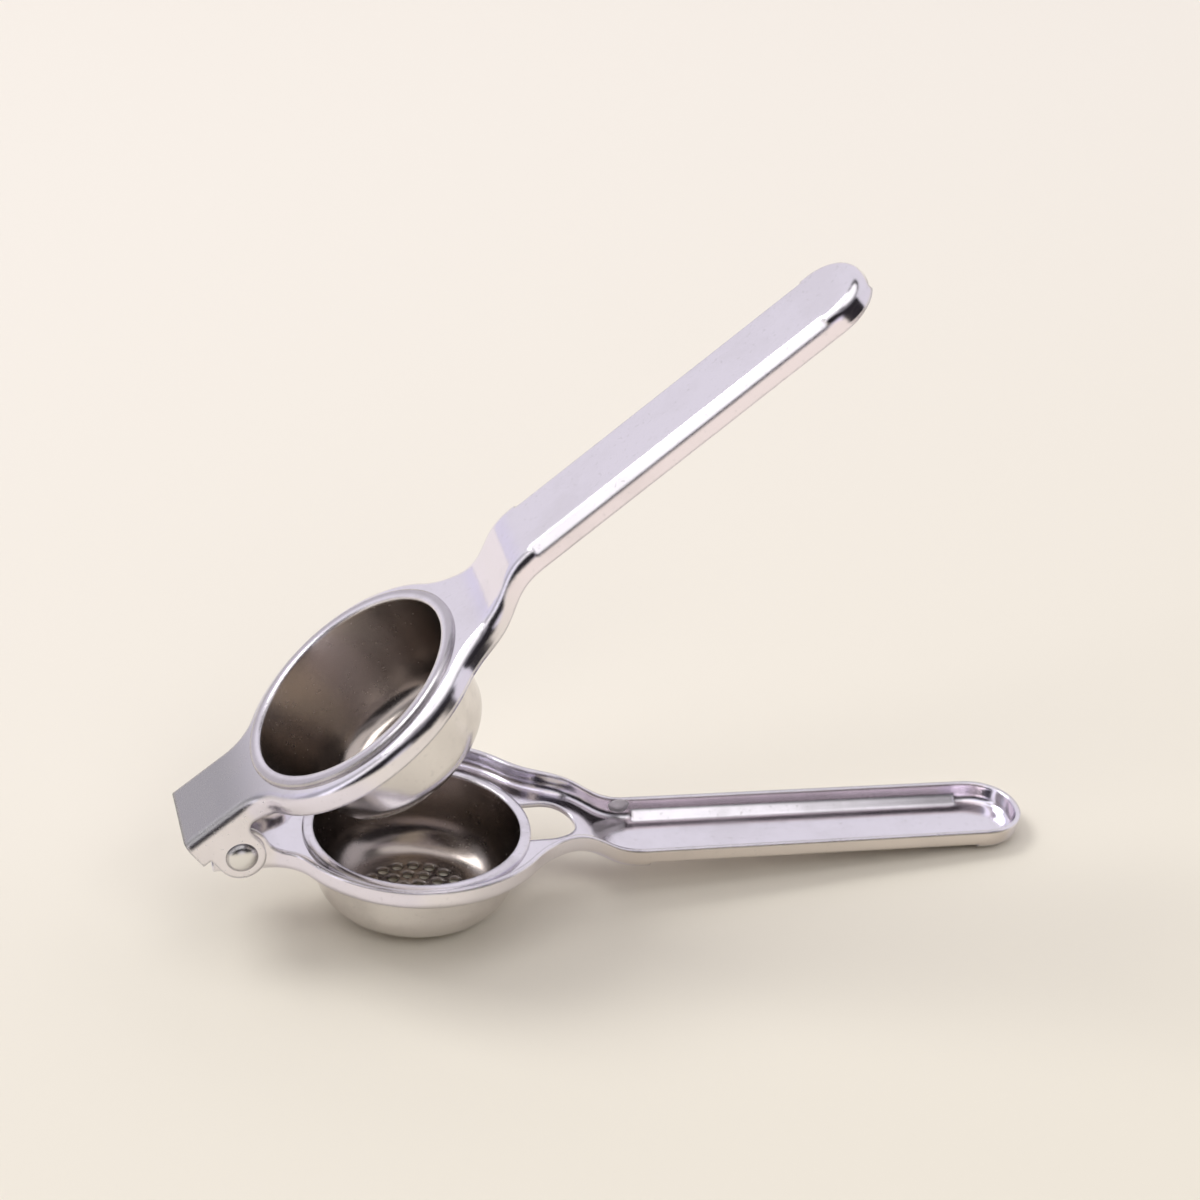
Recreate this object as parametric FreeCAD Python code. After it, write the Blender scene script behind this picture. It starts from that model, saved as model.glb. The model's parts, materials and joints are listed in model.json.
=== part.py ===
import FreeCAD, Part
import math
import os

V = FreeCAD.Vector

# Sheet and fits
sheet = 1.2                 # thickness of both stamped levers
cup_wall = 1.0              # thickness of both drawn cups
ear_gap = 0.2               # side play between outer and inner ears
seat_gap = 0.1              # play of a cup in the hole that carries it
rivet_play = 0.05           # radial running clearance of the rivet in the outer ear
head_gap = 0.1              # play between rivet head and outer ear

# Plan outline, seen square to the plate, from the rivet axis
hinge_width = 26.2          # across the outer ears
ring_centre = 44.8          # rivet axis to cup axis
ring_radius = 33.8          # outside of the ring wall
ring_fillet = 10.0          # hollow corner between hinge and ring
neck_fillet = 24.0          # hollow corner between ring and handle
grip_width = 24.8           # handle across the wall edges
lever_reach = 201.0         # rivet axis to handle tip
nose_flat = 1.2             # straight bit at the middle of the rounded handle end
fold_radius = 2.8           # outside of the folds

# Handle section
grip_rise = 7.5             # step from ring level out to handle level
grip_lift = 2.4             # further rise along the handle to its tip
rise_start = 78.0
rise_end = 101.0
grip_depth = 6.6            # handle, flat top to wall edge
grip_flare = 0.9            # how far a handle wall leans out over its depth
bevel_run = 2.7             # flat facet beside the handle's top
bevel_drop = 1.9
bevel_start = 101.5
bevel_end = 187.0

# Upper lever
upper_plate = 11.5          # plate's outer face above the rivet axis
upper_depth = 5.5           # ring wall, plate face to wall edge
upper_end = 8.2             # plate end behind the rivet axis
upper_end_depth = 7.2       # wall depth at that end
upper_ear = 5.9             # ear radius round the rivet
upper_blend = 2.6           # hollow corner where the ear meets the wall edge
notch_width = 8.0           # cut in the nose wall
notch_depth = 5.0

# Lower lever
lower_plate = 5.7
lower_depth = 5.7
lower_end = 6.4
lower_ear = 7.0
lower_blend = 5.0
window_end = 84.5           # keyhole slot from the ring's hole into the neck
window_half = 8.0

# Cups
press_mouth = 26.8          # inside radius
press_overhang = 2.2        # rim lying on the ring, past the cup wall
strainer_mouth = 25.2
strainer_overhang = 1.8
rim_height = 1.1
rim_round = 0.7             # rounding of the rim's upper edge
press_depth = 26.0          # plate face to cup bottom
press_foot = 21.5           # outside radius where the wall would meet the bottom
press_corner = 7.5
strainer_depth = 18.3       # below the ring's outer face
strainer_foot = 23.4
strainer_corner = 10.0
hole_radius = 1.4
hole_pitch = 3.9
hole_rings = 3

# Rivets
rivet_radius = 2.0
head_radius = 3.9
head_height = 1.3
tail_radius = 3.2
tail_height = 0.9

# Rest position
opening_deg = 39.3          # upper lever above the closed-parallel position

nose_radius = (grip_width - nose_flat) / 2
ear_outer = hinge_width / 2
ear_inner = ear_outer - sheet - ear_gap
tall = 40.0                 # more than any lever is deep, for cutting tools
touch = 0.01                # how near an edge lies to a place to count as being there


def prism(points, reach):
    """Side view outline in X and Z, drawn out across the lever."""
    wire = Part.makePolygon([V(x, -reach, z) for x, z in points + points[:1]])
    return Part.Face(wire).extrude(V(0, 2 * reach, 0))


def lift_at(x):
    """Extra rise of the sloping handle at a distance from the rivet axis."""
    return grip_lift * (x - rise_end) / (lever_reach - rise_end)


def side_view(level, floor, start, reach):
    """Solid under a top line that steps up by grip_rise between ring and handle."""
    middle = (rise_start + rise_end) / 2
    high = level + grip_rise
    ramp = Part.BezierCurve()
    ramp.setPoles([V(x, -reach, z) for x, z in
                   ((rise_start, level), (middle, level), (middle, high), (rise_end, high))])
    far = lever_reach + tall
    corners = [V(rise_end, -reach, high), V(far, -reach, high + lift_at(far)), V(far, -reach, floor),
               V(start, -reach, floor), V(start, -reach, level), V(rise_start, -reach, level)]
    lines = [Part.makeLine(a, b) for a, b in zip(corners, corners[1:])]
    wire = Part.Wire([ramp.toShape()] + lines)
    return Part.Face(wire).extrude(V(0, 2 * reach, 0))


def grip_outline(half, tip, start, z):
    """Handle in plan: two straight sides and a rounded end."""
    radius = half * nose_radius * 2 / grip_width
    flat = half - radius
    side = tip - radius
    mid = radius * math.sqrt(0.5)
    edges = [Part.makeLine(V(start, -half, z), V(side, -half, z)),
             Part.Arc(V(side, -half, z), V(side + mid, -flat - mid, z), V(tip, -flat, z)).toShape(),
             Part.makeLine(V(tip, -flat, z), V(tip, flat, z)),
             Part.Arc(V(tip, flat, z), V(side + mid, flat + mid, z), V(side, half, z)).toShape(),
             Part.makeLine(V(side, half, z), V(start, half, z)),
             Part.makeLine(V(start, half, z), V(start, -half, z))]
    return Part.Wire(edges)


def bevel_cutter(side, level, inset):
    """Wedge that takes the flat facet off one handle edge."""
    slope = bevel_drop / bevel_run
    half = grip_width / 2 - grip_flare - inset
    inner = half - bevel_run
    top = level + grip_rise - inset
    drop = math.hypot(1, slope) * inset - inset
    points = [(inner - tall, top + drop + tall * slope), (inner, top + drop),
              (half + tall, top + drop - (bevel_run + tall) * slope), (half + tall, top + tall)]
    near = lift_at(bevel_start)
    wire = Part.makePolygon([V(bevel_start, side * y, z + near) for y, z in points + points[:1]])
    return Part.Face(wire).extrude(V(bevel_end - bevel_start, 0, lift_at(bevel_end) - near))


def lever_mass(inset, level, hinge_half, end):
    """Full block of a lever, or with an inset the hollow inside it."""
    floor = level - tall
    half = grip_width / 2 - inset
    tip = lever_reach - inset
    back = end + (tall if inset else 0)
    ring = Part.makeCylinder(ring_radius - inset, tall * 2, V(ring_centre, 0, floor))
    hinge = Part.makeBox(back + ring_centre, 2 * (hinge_half - inset), tall * 2,
                         V(-back, inset - hinge_half, floor))
    edge_z = level + grip_rise - grip_depth
    lean = grip_flare / grip_depth
    low = grip_outline(half + lean * (edge_z - floor), tip + lean * (edge_z - floor), ring_centre, floor)
    over = tall * 2 + floor - edge_z
    high = grip_outline(half - lean * over, tip - lean * over, ring_centre, floor + tall * 2)
    grip = Part.makeLoft([low, high], True, True)
    plan = ring.fuse(hinge).fuse(grip).removeSplitter()
    plan = plan.makeFillet(ring_fillet + inset, hollow_edges(plan, -1))
    plan = plan.makeFillet(neck_fillet + inset, hollow_edges(plan, 1))
    mass = plan.common(side_view(level - inset, floor, -back - 1, tall * 2))
    tops = [e for e in mass.Edges if on_top(e, level - inset, -back)]
    mass = mass.makeFillet(fold_radius - inset, tops)
    for side in (-1, 1):
        mass = mass.cut(bevel_cutter(side, level, inset))
    return mass


def hollow_edges(plan, toward):
    """Upright edges where the ring meets the hinge (-1) or the handle (+1)."""
    found = []
    for edge in plan.Edges:
        box = edge.BoundBox
        if box.ZLength < tall or abs(box.Center.y) < 1:
            continue
        gap = (box.Center.x - ring_centre) * toward
        if 0 < gap < ring_radius:
            found.append(edge)
    return found


def on_top(edge, level, end):
    """True for the long edges round the top of a lever block."""
    box = edge.BoundBox
    if box.ZMin < level - touch:
        return False
    at_nose = box.XMin > lever_reach - 2 * nose_radius
    return at_nose or box.XMax > end + touch and abs(box.Center.y) > touch


def wall_keep(level, depth, end, end_depth, ear, blend):
    """Side view of the metal that is kept: plate, walls and round ears."""
    reach = tall * 2
    body = side_view(level + tall, level - depth, 0, reach)
    under = side_view(level - depth, level - 3 * tall, -tall, reach)
    body = body.cut(under)
    rear = prism([(-end, level + tall), (-end, level - end_depth), (0, level - end_depth),
                  (0, level + tall)], reach)
    lobe = Part.makeCylinder(ear, 2 * reach, V(0, -reach, 0), V(0, 1, 0))
    strip = prism([(-ear, 0), (ear, 0), (ear, level), (-ear, level)], reach)
    keep = body.fuse(rear).fuse(lobe).fuse(strip).removeSplitter()
    corner = [e for e in keep.Edges
              if abs(e.BoundBox.XMin - ear) < touch and abs(e.BoundBox.XMax - ear) < touch
              and abs(e.BoundBox.ZMax - (level - depth)) < touch and e.BoundBox.YLength > reach]
    return keep.makeFillet(blend, corner)


def stamped_lever(level, depth, hinge_half, end, end_depth, ear, blend, mouth):
    outer = lever_mass(0, level, hinge_half, end)
    inner = lever_mass(sheet, level, hinge_half, end)
    lever = outer.cut(inner).common(wall_keep(level, depth, end, end_depth, ear, blend))
    seat = mouth + cup_wall + seat_gap
    return lever.cut(Part.makeCylinder(seat, 2 * tall, V(ring_centre, 0, level - tall)))


def cross_hole(radius):
    return Part.makeCylinder(radius, 4 * tall, V(0, -2 * tall, 0), V(0, 1, 0))


def upper_lever():
    lever = stamped_lever(upper_plate, upper_depth, ear_outer, upper_end, upper_end_depth,
                          upper_ear, upper_blend, press_mouth)
    lever = lever.cut(cross_hole(rivet_radius + rivet_play))
    edge = upper_plate + grip_rise - grip_depth
    notch = Part.makeBox(tall, notch_width, notch_depth + tall,
                         V(lever_reach - nose_radius / 2, -notch_width / 2, edge - tall))
    return lever.cut(notch)


def turned_over(shape):
    return shape.rotate(V(0, 0, 0), V(1, 0, 0), 180)


def lower_lever():
    lever = stamped_lever(lower_plate, lower_depth, ear_inner, lower_end, lower_plate,
                          lower_ear, lower_blend, strainer_mouth)
    lever = lever.cut(cross_hole(rivet_radius))
    slot = window_end - window_half - ring_centre
    lever = lever.cut(Part.makeBox(slot, 2 * window_half, tall, V(ring_centre, -window_half, 0)))
    lever = lever.cut(Part.makeCylinder(window_half, tall, V(ring_centre + slot, 0, 0)))
    return turned_over(lever)


def bowl(radius, foot, depth, corner, top):
    """Tapered round block with a rounded bottom edge, hanging down from top."""
    block = Part.makeCone(foot, radius, depth, V(ring_centre, 0, top - depth))
    bottom = [e for e in block.Edges if e.BoundBox.ZMax < top - depth + touch]
    return block.makeFillet(corner, bottom)


def drawn_cup(inside_mouth, overhang, foot, depth, corner, top):
    """Cup through the ring: its rim lies on the face at top, depth is below that face."""
    high = top + rim_height
    mouth = inside_mouth + cup_wall
    rim = Part.makeCylinder(mouth + overhang, rim_height, V(ring_centre, 0, top))
    rim = rim.makeFillet(rim_round, [e for e in rim.Edges if e.BoundBox.ZMin > high - touch])
    body = bowl(mouth, foot, depth, corner, top).fuse(rim)
    rise = rim_height * (mouth - foot) / depth
    inside = bowl(inside_mouth + rise, foot - cup_wall, depth + rim_height - cup_wall,
                  corner - cup_wall, high)
    return body.cut(inside)


def press_cup():
    return drawn_cup(press_mouth, press_overhang, press_foot, press_depth, press_corner, upper_plate)


def strainer_cup():
    face = sheet - lower_plate
    cup = drawn_cup(strainer_mouth, strainer_overhang, strainer_foot, strainer_depth + sheet,
                    strainer_corner, face)
    holes = [Part.makeCylinder(hole_radius, tall, V(ring_centre, 0, face - tall))]
    for ring in range(1, hole_rings + 1):
        count = 6 * ring
        for step in range(count):
            turn = 2 * math.pi * step / count
            x = ring_centre + ring * hole_pitch * math.cos(turn)
            y = ring * hole_pitch * math.sin(turn)
            holes.append(Part.makeCylinder(hole_radius, tall, V(x, y, face - tall)))
    return cup.cut(holes)


def rivet(side):
    """Domed head outside the outer ear, shank through both ears, set tail inside."""
    seat = ear_outer + head_gap
    inside = ear_inner - sheet
    ball = (head_radius ** 2 + head_height ** 2) / (2 * head_height)
    dome = Part.makeSphere(ball, V(0, seat + head_height - ball, 0))
    disc = Part.makeCylinder(head_radius, head_height, V(0, seat, 0), V(0, 1, 0))
    shank = Part.makeCylinder(rivet_radius, seat - inside, V(0, inside, 0), V(0, 1, 0))
    tail = Part.makeCylinder(tail_radius, tail_height, V(0, inside - tail_height, 0), V(0, 1, 0))
    pin = disc.common(dome).fuse(shank).fuse(tail).removeSplitter()
    return pin if side > 0 else pin.mirror(V(0, 0, 0), V(0, 1, 0))


def nose_fold():
    """Centre of the bottom fold at the lower handle's tip, from the rivet axis."""
    slope = grip_lift / (lever_reach - rise_end)
    lean = grip_flare / grip_depth
    face = lower_plate + grip_rise - slope * rise_end - fold_radius * math.hypot(1, slope)
    edge = lower_plate + grip_rise - grip_depth
    reach = lever_reach + lean * (edge - face) - fold_radius * math.hypot(1, lean)
    x = reach / (1 + lean * slope)
    return x, -(face + slope * x)


def cup_fold():
    """Centre of the strainer's rounded bottom edge on the handle side."""
    lean = (strainer_mouth + cup_wall - strainer_foot) / (strainer_depth + sheet)
    inset = strainer_corner * (math.hypot(1, lean) - lean)
    return ring_centre + strainer_foot - inset, strainer_corner - lower_plate - strainer_depth


def pitch_deg():
    """Tilt that brings the strainer's bottom edge and the handle tip onto one floor."""
    cup_x, cup_z = cup_fold()
    nose_x, nose_z = nose_fold()
    span = math.hypot(nose_x - cup_x, nose_z - cup_z)
    rise = math.atan2(nose_z - cup_z, nose_x - cup_x)
    return math.degrees(rise + math.asin((strainer_corner - fold_radius) / span))


def rivet_height():
    """Rivet axis above the floor when the squeezer stands."""
    tilt = math.radians(pitch_deg())
    x, z = cup_fold()
    return strainer_corner + x * math.sin(tilt) - z * math.cos(tilt)


def stood(shape, opened=0.0):
    """From the lever's own frame to the standing squeezer, mouth opened as given."""
    placed = shape.copy()
    placed.rotate(V(0, 0, 0), V(0, -1, 0), opened)
    placed.rotate(V(0, 0, 0), V(0, 1, 0), pitch_deg())
    return placed


def main():
    os.makedirs("parts", exist_ok=True)
    nodes = {
        "upper_lever": stood(upper_lever(), opening_deg),
        "press_cup": stood(press_cup(), opening_deg),
        "lower_lever": stood(lower_lever()),
        "strainer_cup": stood(strainer_cup()),
        "near_rivet": stood(rivet(-1)),
        "far_rivet": stood(rivet(1)),
    }
    box = Part.makeCompound(list(nodes.values())).optimalBoundingBox(False, False)
    place = V(-box.Center.x, 0, rivet_height())
    for name, shape in nodes.items():
        shape.translate(place)
        shape.exportStep("parts/" + name + ".step")
        print(name, len(shape.Solids), shape.isValid(), round(shape.Volume, 1))
    print("lowest point", round(box.ZMin + place.z, 4), "pitch", round(pitch_deg(), 4))
    print("rivet axis at", round(place.x, 4), round(place.z, 4))


main()
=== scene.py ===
import json
import math
import bpy
from mathutils import Matrix, Vector


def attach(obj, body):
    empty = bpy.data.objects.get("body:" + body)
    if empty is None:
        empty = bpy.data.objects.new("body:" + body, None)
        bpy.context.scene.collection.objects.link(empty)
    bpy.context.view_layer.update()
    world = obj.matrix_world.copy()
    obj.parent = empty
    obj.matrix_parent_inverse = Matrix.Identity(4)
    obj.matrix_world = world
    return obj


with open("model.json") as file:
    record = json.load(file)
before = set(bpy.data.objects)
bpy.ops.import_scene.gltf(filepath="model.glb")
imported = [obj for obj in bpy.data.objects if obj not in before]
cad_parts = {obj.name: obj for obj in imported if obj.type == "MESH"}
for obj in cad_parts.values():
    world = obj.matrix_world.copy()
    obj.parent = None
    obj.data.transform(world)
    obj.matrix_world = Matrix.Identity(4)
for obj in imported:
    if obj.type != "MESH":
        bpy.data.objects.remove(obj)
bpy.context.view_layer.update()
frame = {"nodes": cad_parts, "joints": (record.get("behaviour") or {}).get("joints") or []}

# Camera, in metres and degrees
view_azimuth = -13.14
view_height = 30.64
view_roll = 0.38
view_distance = 0.869
view_target = Vector((-0.003046, 0.0, 0.079817))
lens_mm = 109.38
sensor_mm = 36.0
near_clip = 0.01
far_clip = 50

# Floor, painted paler towards the back as painted light falloff
floor_size = 8.0
floor_cream = (0.845, 0.795, 0.67)
floor_painted_light = (0.92, 0.87, 0.78)
floor_back_way = (-0.22, 0.97, 0.0)
floor_painted_light_span = (-0.35, 0.5)

# Room colours, and the heights and directions between which they change
room_low = (0.80, 0.76, 0.83)
room_high = (0.82, 0.79, 0.86)
room_grey = (0.42, 0.41, 0.43)
room_top = (0.10, 0.095, 0.10)
room_dark = (0.025, 0.022, 0.025)
room_panel = (1.3, 1.27, 1.3)
room_strength = 1.0
room_front_way = (0.05, -1, 0)
high_part = (0.0, 0.5)
ceiling_part = (0.76, 0.82)
top_panel_part = (0.885, 0.90)
left_part = (0.15, 0.30)
grey_starts = (-0.45, -0.25)
white_starts = (0.00, 0.08)
white_ends = (0.30, 0.36)
dark_starts = (0.32, 0.38)
dark_ends = (0.95, 0.99)
dark_top = (0.70, 0.80)

# Lamps, in metres and watts
key_place = (-1.9, 1.3, 3.2)
key_aim = (0, 0, 0.05)
key_size = (1.6, 1.6)
key_power = 52
fill_place = (0.9, -2.4, 2.4)
fill_aim = (0, 0, 0.02)
fill_size = (2.0, 1.4)
fill_power = 24

# Steel colours
lever_tint = (0.86, 0.83, 0.87)
# Hinge plate colour: a rougher finish there, and painted shade that darkens it
hinge_tint_and_shade = (0.40, 0.395, 0.40)
cup_tint = (0.80, 0.77, 0.75)
# Painted shade inside the cups
cup_inside_shade = (0.50, 0.44, 0.40)
# Painted shade line where the cup's rim meets the plate
rim_shade_tint = (0.22, 0.20, 0.20)
rivet_tint = (0.80, 0.79, 0.78)
# Painted reflection on the upper lever's front-facing walls, lighter and lavender
upper_wall_reflection = (0.98, 0.91, 1.0)
# Painted reflection: the lever's rise is coloured like the plate in place of what it reflects
rise_reflection_tint = (0.84, 0.81, 0.92)
# Painted highlight on the punched mark, pale
mark_highlight_tint = (1.0, 0.96, 0.94)
# Painted reflection on the lower lever's front-facing walls, darker and beige
lower_wall_reflection = (0.74, 0.68, 0.64)
# Painted reflection on the inner faces of the far walls
far_wall_reflection = (0.86, 0.76, 0.79)
patch_tint = (0.45, 0.42, 0.40)
speck_tint = (0.35, 0.32, 0.31)

# How much detail a noise has, and its scale where the place is already scaled
smooth = 1.0
fine = 2.0
mottled = 3.0
rich = 4.0
even_grain = 0.5
as_given = 1.0

# Places of the Mix node's colours among its sockets
colour_a = 6
colour_b = 7
colour_result = 2

# Wear: sizes of the patches and specks per metre, and how much they show
patch_scale = 55.0
patch_grain = 0.6
patch_edge = (0.42, 0.68)
speck_scale = 900.0
speck_edge = (0.62, 0.72)
speck_shown = 0.12
patch_rough = 0.05
speck_rough = 0.06
lever_stain = 0.12
cup_stain = 0.35
rivet_stain = 0.3
mark_stain = 0.1

# Polish: waves in the sheet, lines along and across it, spun rings and dents, in metres or per metre
edge_round = 0.0014
edge_samples = 6
wave_scale = 42.0
wave_depth = 0.0006
line_depth = 0.00003
line_long = 60
line_fine = 5200
cross_long = 150
cross_fine = 4200
ring_fine = 2600
dent_scale = 700.0
lever_lines = 0.06
lever_waves = 0.10
cup_lines = 0.10
cup_waves = 0.14
rivet_dents = 0.5
rivet_waves = 0.2
mark_dents = 0.2
mark_waves = 0.1

# Roughness
hinge_rough = 0.20
bright_gain = 0.11
grain_rough = 0.06
cup_rough = 0.13
ring_rough = 0.08
inside_rough = 0.03
rivet_rough = 0.20
mark_rough = 0.40

# Where the levers and cups lie, in metres and degrees
stand_tilt = 3.53
lower_opening = 0.0
mouth_opening = 39.3
cup_reach = 0.0448
upper_bright = (0.004, 0.030)
lower_bright = (-0.002, 0.012)
# Where the painted wall reflections start along each lever, and where the far wall starts across it
wall_starts = (0.080, 0.100)
wall_middle = (-0.002, 0.002)
press_rim = 0.0126
strainer_rim = -0.0034
rim_edge = (0.0012, 0.0008)
# Painted shade inside the cups, darker towards the bottom, and a painted shade line on the rim's outer
# part
inside_shade_edge = (0.0009, 0.0004)
rim_shade_edge = (0.0276, 0.0288)
inside_shade_depth = (0.004, 0.022)
inside_shade_bottom = 0.72
rim_shade_shown = 0.45

# How far a face has to turn to count as a wall, a rise, a flat plate or the inside of a cup
wall_turn = (0.75, 0.95)
rise_turn = (0.03, 0.25)
plate_turn = (0.3, 0.7)
inside_turn = (-0.1, 0.1)

# Mark punched into the lower handle's far wall, in metres
mark_reach = 0.0984
mark_drop = -0.0096
mark_sunk = 0.00015
mark_proud = 0.0007
mark_long = 0.0031
mark_tall = 0.0025
mark_round = 1.5
mark_rings = 8
mark_spokes = 28

hinge = frame["joints"][0]
rivet_point = Vector(hinge["pos_m"])


class Shade:
    """A number or colour in a material, from a node's output."""

    def __init__(self, finish, socket):
        self.finish = finish
        self.socket = socket

    def joined(self, operation, first, second):
        return self.finish.add("ShaderNodeMath", {"operation": operation}, {0: first, 1: second})

    def __add__(self, other):
        return self.joined("ADD", self, other)

    def __radd__(self, other):
        return self.joined("ADD", other, self)

    def __sub__(self, other):
        return self.joined("SUBTRACT", self, other)

    def __rsub__(self, other):
        return self.joined("SUBTRACT", other, self)

    def __mul__(self, other):
        return self.joined("MULTIPLY", self, other)

    def __rmul__(self, other):
        return self.joined("MULTIPLY", other, self)


class Finish:
    """The nodes of one material or of the room."""

    def __init__(self, tree):
        self.tree = tree
        tree.nodes.clear()

    def add(self, kind, settings=None, sockets=None, out=0):
        node = self.tree.nodes.new(kind)
        for name, value in (settings or {}).items():
            setattr(node, name, value)
        for name, value in (sockets or {}).items():
            if isinstance(value, Shade):
                self.tree.links.new(value.socket, node.inputs[name])
            else:
                node.inputs[name].default_value = value
        return Shade(self, node.outputs[out]) if len(node.outputs) else None

    def place(self):
        """Position on the object, in metres."""
        return self.add("ShaderNodeTexCoord", out="Object")

    def facing(self):
        """Direction that the surface faces."""
        return self.add("ShaderNodeTexCoord", out="Normal")

    def vector(self, operation, first, second, out=0):
        return self.add("ShaderNodeVectorMath", {"operation": operation}, {0: first, 1: second}, out)

    def dot(self, first, second):
        return self.vector("DOT_PRODUCT", first, second, "Value")

    def combined(self, *parts):
        return self.add("ShaderNodeCombineXYZ", None, dict(enumerate(parts)))

    def fade(self, value, limits, base=0.0):
        """Smooth 0 to 1 while a value goes between two limits, which are added to the base."""
        sockets = {"Value": value, "From Min": base + limits[0], "From Max": base + limits[1]}
        return self.add("ShaderNodeMapRange", {"interpolation_type": "SMOOTHSTEP"}, sockets)

    def blend(self, amount, first, second):
        """First colour to second as the amount goes from 0 to 1."""
        sockets = {"Factor": amount, colour_a: first, colour_b: second}
        return self.add("ShaderNodeMix", {"data_type": "RGBA"}, sockets, colour_result)

    def noise(self, place, scale, detail=mottled, roughness=even_grain):
        sockets = {"Vector": place, "Scale": scale, "Detail": detail, "Roughness": roughness}
        return self.add("ShaderNodeTexNoise", None, sockets)

    def bump(self, strength, distance, height, normal):
        sockets = {"Strength": strength, "Distance": distance, "Height": height, "Normal": normal}
        return self.add("ShaderNodeBump", None, sockets)


def colour(rgb, level=1.0):
    """Colour with full cover, at a level of its brightness."""
    return (rgb[0] * level, rgb[1] * level, rgb[2] * level, 1)


def new_finish(name):
    material = bpy.data.materials.new(name)
    material.use_nodes = True
    return material, Finish(material.node_tree)


def lever_axes(opened):
    """Directions along a lever, square to its plate and across it."""
    turn = math.radians(opened - stand_tilt)
    along = Vector((math.cos(turn), 0, math.sin(turn)))
    return along, Vector((-math.sin(turn), 0, math.cos(turn))), Vector((0, 1, 0))


def wear(f, place, tint, stain):
    """Steel colour with dull patches and fine specks, and what they add to its roughness."""
    patches = f.fade(f.noise(place, patch_scale, rich, patch_grain), patch_edge)
    specks = f.fade(f.noise(place, speck_scale, fine), speck_edge)
    dull = f.blend(patches * stain, tint, colour(patch_tint))
    shown = f.blend(specks * speck_shown, dull, colour(speck_tint))
    return shown, patches * patch_rough + specks * speck_rough


def polished(f, place, shown, roughness, lines, brushing, ripple):
    """Metal surface with a slight ripple in the sheet and fine polishing lines."""
    waves = f.noise(place, wave_scale, smooth)
    rounded = f.add("ShaderNodeBevel", {"samples": edge_samples}, {"Radius": edge_round})
    wavy = f.bump(ripple, wave_depth, waves, rounded)
    brushed = f.bump(brushing, line_depth, lines, wavy)
    surface = f.add("ShaderNodeBsdfPrincipled", None,
                    {"Base Color": shown, "Metallic": 1.0, "Roughness": roughness, "Normal": brushed})
    f.add("ShaderNodeOutputMaterial", None, {"Surface": surface})


def lever_steel(name, opened, bright_part, wall_reflection):
    """Bright stamped lever, polished along its length, with painted reflections on its rise and walls;
    at the hinge it is less polished, and its flat plate is painted darker, partly a rougher finish and
    partly painted shade.
    """
    material, f = new_finish(name)
    along, square, across = lever_axes(opened)
    place = f.place()
    facing = f.facing()
    reach = f.dot(place, along) - rivet_point.dot(along)
    high = f.dot(place, square)
    side = f.dot(place, across)
    lines = f.noise(f.combined(reach * line_long, high * line_fine, side * line_fine), as_given, fine)
    strokes = f.noise(f.combined(reach * cross_fine, high * cross_long, side * cross_long), as_given)
    bright = f.fade(reach, bright_part)
    grain = f.blend(bright, strokes, lines)
    # Painted reflections on the walls that face the front
    wall = f.fade(0 - f.dot(facing, across), wall_turn) * f.fade(reach, wall_starts)
    # Painted reflection on the rise that faces the hinge
    rise = f.fade(0 - f.dot(facing, along), rise_turn)
    plate_with_painted_rise = f.blend(rise, colour(lever_tint), colour(rise_reflection_tint))
    # Painted reflection on the far walls, in a colour of its own
    far_wall = wall * f.fade(side, wall_middle)
    with_painted_reflections = f.blend(far_wall, f.blend(wall, plate_with_painted_rise, colour(wall_reflection)), colour(far_wall_reflection))
    plate = f.dot(facing, square)
    # Flat plate at the hinge: rougher finish, and painted shade that darkens it
    dull_and_shaded = (1 - bright) * f.fade(plate * plate, plate_turn)
    shown, rough = wear(f, place, f.blend(dull_and_shaded, with_painted_reflections, colour(hinge_tint_and_shade)), lever_stain)
    roughness = hinge_rough - bright * bright_gain + grain * grain_rough + rough
    polished(f, place, shown, roughness, grain, lever_lines, lever_waves)
    return material


def cup_steel(name, opened, rim_plane):
    """Drawn cup: bright rolled rim with a painted shade line on its outer part, spun lines, and an
    inside painted with shade that is darker towards the bottom.
    """
    material, f = new_finish(name)
    along, square, across = lever_axes(opened)
    coords = f.place()
    facing = f.facing()
    place = f.vector("SUBTRACT", coords, rivet_point + along * cup_reach)
    height = f.dot(place, square)
    flat = f.combined(f.dot(place, along), f.dot(place, across))
    face_flat = f.combined(f.dot(facing, along), f.dot(facing, across))
    radius = f.add("ShaderNodeVectorMath", {"operation": "LENGTH"}, {0: flat}, "Value")
    outward = f.dot(face_flat, f.add("ShaderNodeVectorMath", {"operation": "NORMALIZE"}, {0: flat}))
    above_inside_shade = f.fade(height, (-inside_shade_edge[0], -inside_shade_edge[1]), rim_plane)
    inside = f.fade(f.dot(facing, square) - outward, inside_turn) * (1 - above_inside_shade)
    rings = f.noise(f.combined(radius * ring_fine, height * ring_fine), as_given, fine)
    # Painted shade inside the cup, darker towards the bottom
    deep = f.fade(rim_plane - height, inside_shade_depth)
    inside_shade = f.blend(deep, colour(cup_inside_shade), colour(cup_inside_shade, inside_shade_bottom))
    on_rim = f.fade(height, (-rim_edge[0], -rim_edge[1]), rim_plane) * (1 - inside)
    body = f.blend(on_rim, colour(cup_tint), colour(lever_tint))
    # Painted shade line on the outer part of the rim, where it meets the plate
    rim_shade = on_rim * f.fade(radius, rim_shade_edge)
    body = f.blend(rim_shade * rim_shade_shown, body, colour(rim_shade_tint))
    shown, rough = wear(f, coords, f.blend(inside, body, inside_shade), cup_stain)
    roughness = cup_rough + rings * ring_rough + inside * inside_rough + rough
    polished(f, coords, shown, roughness, rings, cup_lines, cup_waves)
    return material


def satin_steel(name, tint, stain, satin, dented, ripple):
    """Satin steel with small dents."""
    material, f = new_finish(name)
    place = f.place()
    shown, rough = wear(f, place, colour(tint), stain)
    polished(f, place, shown, satin + rough, f.noise(place, dent_scale), dented, ripple)
    return material


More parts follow.
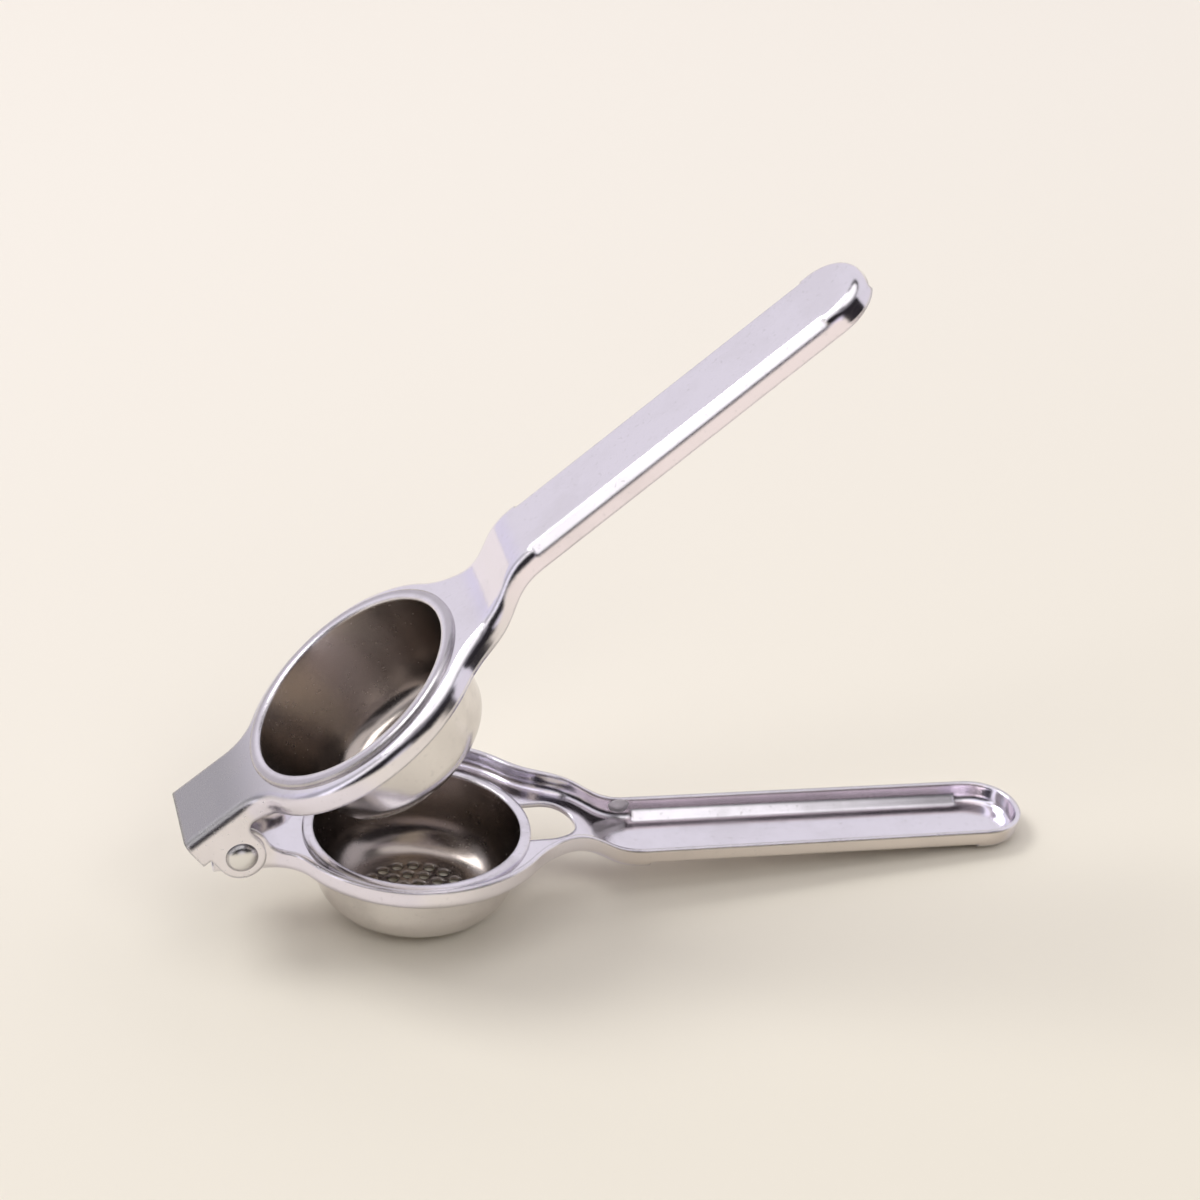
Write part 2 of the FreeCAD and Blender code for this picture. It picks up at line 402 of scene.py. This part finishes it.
def rivet_steel(name):
    """Tumbled rivet steel."""
    return satin_steel(name, rivet_tint, rivet_stain, rivet_rough, rivet_dents, rivet_waves)


def mark_steel(name):
    """Satin steel painted pale, as a painted highlight on the punched dome."""
    return satin_steel(name, mark_highlight_tint, mark_stain, mark_rough, mark_dents, mark_waves)


def put_on(node, material):
    """Make a material the only one on a CAD node."""
    slots = frame["nodes"][node].data.materials
    slots.clear()
    slots.append(material)


def floor():
    """Plain cream floor, painted a little paler towards the back as painted light falloff."""
    material, f = new_finish("floor_paper")
    # Painted light falloff: the floor is paler towards the back
    back = f.fade(f.dot(f.place(), floor_back_way), floor_painted_light_span)
    paper = f.blend(back, colour(floor_cream), colour(floor_painted_light))
    surface = f.add("ShaderNodeBsdfPrincipled", None,
                    {"Base Color": paper, "Roughness": 1.0, "Specular IOR Level": 0.0})
    f.add("ShaderNodeOutputMaterial", None, {"Surface": surface})
    half = floor_size / 2
    corners = [(-half, -half, 0), (half, -half, 0), (half, half, 0), (-half, half, 0)]
    mesh = bpy.data.meshes.new("floor")
    mesh.from_pydata(corners, [], [(0, 1, 2, 3)])
    mesh.materials.append(material)
    plate = bpy.data.objects.new("floor", mesh)
    bpy.context.scene.collection.objects.link(plate)


def room():
    """Pale room with a bright panel high on the left and a dark side towards the viewer."""
    world = bpy.data.worlds.new("room")
    bpy.context.scene.world = world
    world.use_nodes = True
    f = Finish(world.node_tree)
    way = f.add("ShaderNodeTexCoord", out="Generated")
    height = f.dot(way, (0, 0, 1))
    front = f.dot(way, room_front_way)
    left = f.fade(f.dot(way, (-1, 0, 0)), left_part)
    light = f.blend(f.fade(height, high_part), colour(room_low), colour(room_high))
    light = f.blend(f.fade(height, ceiling_part), light, colour(room_top))
    light = f.blend(f.fade(height, top_panel_part), light, colour(room_panel))
    grey = left * f.fade(front, grey_starts) * (1 - f.fade(front, white_starts))
    light = f.blend(grey, light, colour(room_grey))
    white = left * f.fade(front, white_starts) * (1 - f.fade(front, white_ends))
    light = f.blend(white, light, colour(room_panel))
    dark = f.fade(front, dark_starts) * (1 - f.fade(front, dark_ends)) * (1 - f.fade(height, dark_top))
    light = f.blend(dark, light, colour(room_dark))
    surface = f.add("ShaderNodeBackground", None, {"Color": light, "Strength": room_strength})
    f.add("ShaderNodeOutputWorld", None, {"Surface": surface})


def lamp(name, place, aim, size, power):
    """Soft rectangular lamp turned towards a point."""
    data = bpy.data.lights.new(name, "AREA")
    data.shape = "RECTANGLE"
    data.size, data.size_y = size
    data.energy = power
    light = bpy.data.objects.new(name, data)
    light.location = place
    light.rotation_mode = "QUATERNION"
    light.rotation_quaternion = (Vector(aim) - Vector(place)).to_track_quat("-Z", "Y")
    bpy.context.scene.collection.objects.link(light)
    return light


def pressed_mark():
    """Shallow dome punched into the inner face of the lower handle's far wall."""
    along, square, across = lever_axes(lower_opening)
    trough = rivet_point + along * mark_reach + square * mark_drop
    wall = frame["nodes"]["lower_lever"].ray_cast(trough, across)[1]
    centre = wall + across * mark_sunk
    points = [centre - across * mark_proud]
    for ring in range(1, mark_rings + 1):
        out = ring / mark_rings
        rise = mark_proud * math.cos(out * math.pi / 2) ** mark_round
        for spoke in range(mark_spokes):
            turn = 2 * math.pi * spoke / mark_spokes
            flat = along * (math.cos(turn) * mark_long) + square * (math.sin(turn) * mark_tall)
            points.append(centre + flat * out - across * rise)
    faces = [(0, 1 + spoke, 1 + (spoke + 1) % mark_spokes) for spoke in range(mark_spokes)]
    for ring in range(mark_rings - 1):
        for spoke in range(mark_spokes):
            near = 1 + ring * mark_spokes + spoke
            side = 1 + ring * mark_spokes + (spoke + 1) % mark_spokes
            faces.append((near, near + mark_spokes, side + mark_spokes, side))
    mesh = bpy.data.meshes.new("pressed_mark")
    mesh.from_pydata(points, [], faces)
    mesh.polygons.foreach_set("use_smooth", [True] * len(mesh.polygons))
    mesh.materials.append(mark_steel("pressed_mark_steel"))
    mark = bpy.data.objects.new("pressed_mark", mesh)
    bpy.context.scene.collection.objects.link(mark)
    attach(mark, "lower")


def camera():
    """Camera at the photograph's angle, turned about the target."""
    azimuth = math.radians(view_azimuth)
    height = math.radians(view_height)
    level = math.cos(height)
    back = Vector((math.sin(azimuth) * level, -math.cos(azimuth) * level, math.sin(height)))
    data = bpy.data.cameras.new("camera")
    data.lens = lens_mm
    data.sensor_width = sensor_mm
    data.clip_start = near_clip
    data.clip_end = far_clip
    viewer = bpy.data.objects.new("camera", data)
    turn = (-back).to_track_quat("-Z", "Y").to_matrix().to_4x4()
    roll = Matrix.Rotation(math.radians(view_roll), 4, "Z")
    viewer.matrix_world = Matrix.Translation(view_target + back * view_distance) @ turn @ roll
    bpy.context.scene.collection.objects.link(viewer)
    bpy.context.scene.camera = viewer


def main():
    bpy.context.scene.view_settings.view_transform = "Standard"
    put_on("upper_lever", lever_steel("upper_lever_steel", mouth_opening, upper_bright, upper_wall_reflection))
    put_on("lower_lever", lever_steel("lower_lever_steel", lower_opening, lower_bright, lower_wall_reflection))
    put_on("press_cup", cup_steel("press_cup_steel", mouth_opening, press_rim))
    put_on("strainer_cup", cup_steel("strainer_cup_steel", lower_opening, strainer_rim))
    put_on("near_rivet", rivet_steel("near_rivet_steel"))
    put_on("far_rivet", rivet_steel("far_rivet_steel"))
    pressed_mark()
    floor()
    room()
    lamp("key_panel", key_place, key_aim, key_size, key_power)
    fill = lamp("front_fill", fill_place, fill_aim, fill_size, fill_power)
    fill.visible_glossy = False
    camera()


main()
